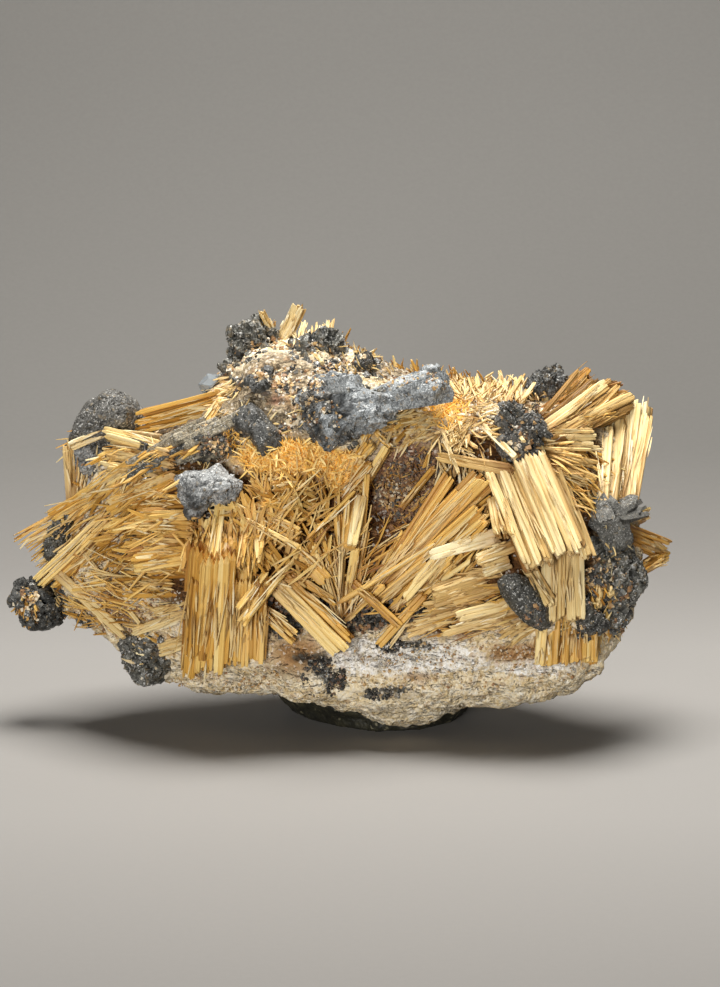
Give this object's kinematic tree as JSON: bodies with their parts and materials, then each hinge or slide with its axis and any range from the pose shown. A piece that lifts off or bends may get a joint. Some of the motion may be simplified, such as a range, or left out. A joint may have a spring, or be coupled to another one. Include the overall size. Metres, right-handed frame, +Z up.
{
  "type": "rutile on hematite specimen",
  "caption": "Mineral specimen: a pale feldspar rock carrying dark angular hematite crystals and crossing sheaves of golden rutile blades, resting on a flat-bottomed foot of massive hematite.",
  "frame": {"origin": "on the foot's flat rest face, below the middle of the lump", "axes": "+X across the display face to the viewer's right, +Y into the lump from the display face, +Z up"},
  "size_m": [0.0821, 0.0425, 0.0526],
  "materials": {
    "rock": "rough broken feldspar with iron stains",
    "hematite": "fine-grained, sparkling sub-metallic",
    "rutile": "striated, silky gold",
    "quartz": "clear, glossy"
  },
  "bodies": {
    "root": {"hematite_back_lump": "hematite", "hematite_back_plate": "hematite", "hematite_crest": "hematite", "hematite_crest_edge": "hematite", "hematite_crest_left": "hematite", "hematite_crest_right": "hematite", "hematite_diamond": "hematite", "hematite_foot": "hematite", "hematite_leaf": "hematite", "hematite_left_band": "hematite", "hematite_left_dome": "hematite", "hematite_left_end": "hematite", "hematite_left_patch": "hematite", "hematite_lower_left": "hematite", "hematite_peak_left": "hematite", "hematite_peak_right": "hematite", "hematite_ridge": "hematite", "hematite_right_end": "hematite", "hematite_right_foot": "hematite", "hematite_right_heart": "hematite", "hematite_right_shoulder": "hematite", "hematite_rosette": "hematite", "hematite_star": "hematite", "quartz_crystal": "quartz", "rock": "rock", "rutile_back_crest": "rutile", "rutile_back_foot": "rutile", "rutile_back_left": "rutile", "rutile_back_right": "rutile", "rutile_bottom_sheaf": "rutile", "rutile_centre_fan": "rutile", "rutile_cleft_sheaf": "rutile", "rutile_crest_rods": "rutile", "rutile_cross_rod": "rutile", "rutile_diagonal_sheaf": "rutile", "rutile_front_rod": "rutile", "rutile_heart_rods": "rutile", "rutile_left_edge": "rutile", "rutile_left_foot": "rutile", "rutile_left_shoulder": "rutile", "rutile_left_spikes": "rutile", "rutile_left_spray": "rutile", "rutile_lower_blocks": "rutile", "rutile_lower_sheaf": "rutile", "rutile_peak_left": "rutile", "rutile_peak_right": "rutile", "rutile_right_columns": "rutile", "rutile_right_crest": "rutile", "rutile_right_rise": "rutile", "rutile_right_sheaf": "rutile", "rutile_right_tip": "rutile", "rutile_top_tufts": "rutile", "rutile_upper_bar": "rutile", "rutile_upper_blocks": "rutile"}
  },
  "joints": []
}
